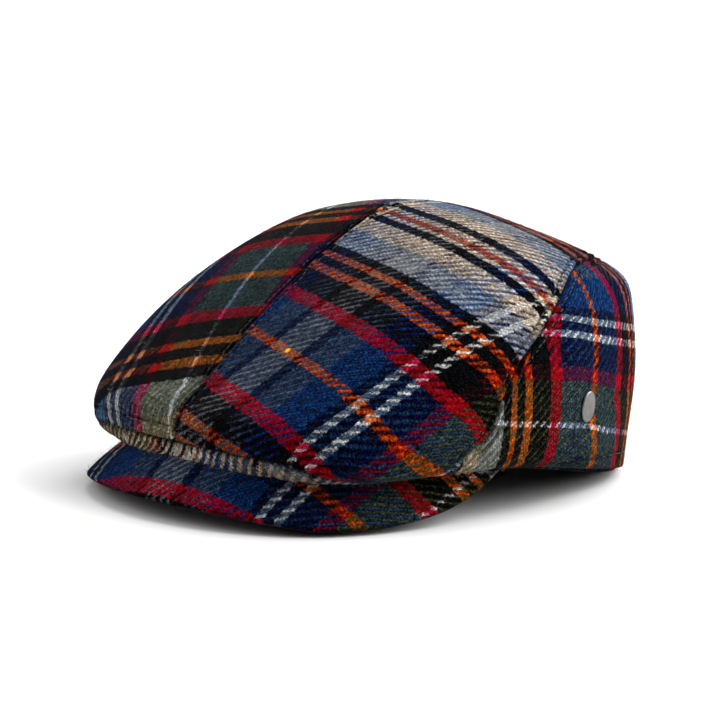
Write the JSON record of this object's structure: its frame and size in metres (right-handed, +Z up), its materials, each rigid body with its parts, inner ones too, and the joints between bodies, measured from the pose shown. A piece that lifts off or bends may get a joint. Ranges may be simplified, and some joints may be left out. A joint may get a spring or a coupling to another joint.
{
  "type": "flat cap with earflaps",
  "caption": "Tweed flat cap: a two-part crown over a stiff peak, a back panel with a small metal badge, and an ear and neck flap folded up inside.",
  "frame": {"origin": "bottom centre of the cap's bounding box, on the surface it rests on", "axes": "+Z up, -Y towards the peak, +X towards the wearer's left"},
  "size_m": [0.2018, 0.2342, 0.1159],
  "materials": {
    "crown_tweed": "brushed wool twill, plaid",
    "back_tweed": "brushed wool twill, plaid",
    "strip_tweed": "brushed wool twill, plaid",
    "peak_tweed": "brushed wool twill, plaid",
    "flap_cloth": "matt wool",
    "badge_metal": "satin"
  },
  "bodies": {
    "root": {"crown_left": "crown_tweed", "crown_right": "crown_tweed", "back_panel": "back_tweed", "front_strip": "strip_tweed", "peak": "peak_tweed", "ear_flap": "flap_cloth", "badge": "badge_metal"}
  },
  "joints": []
}
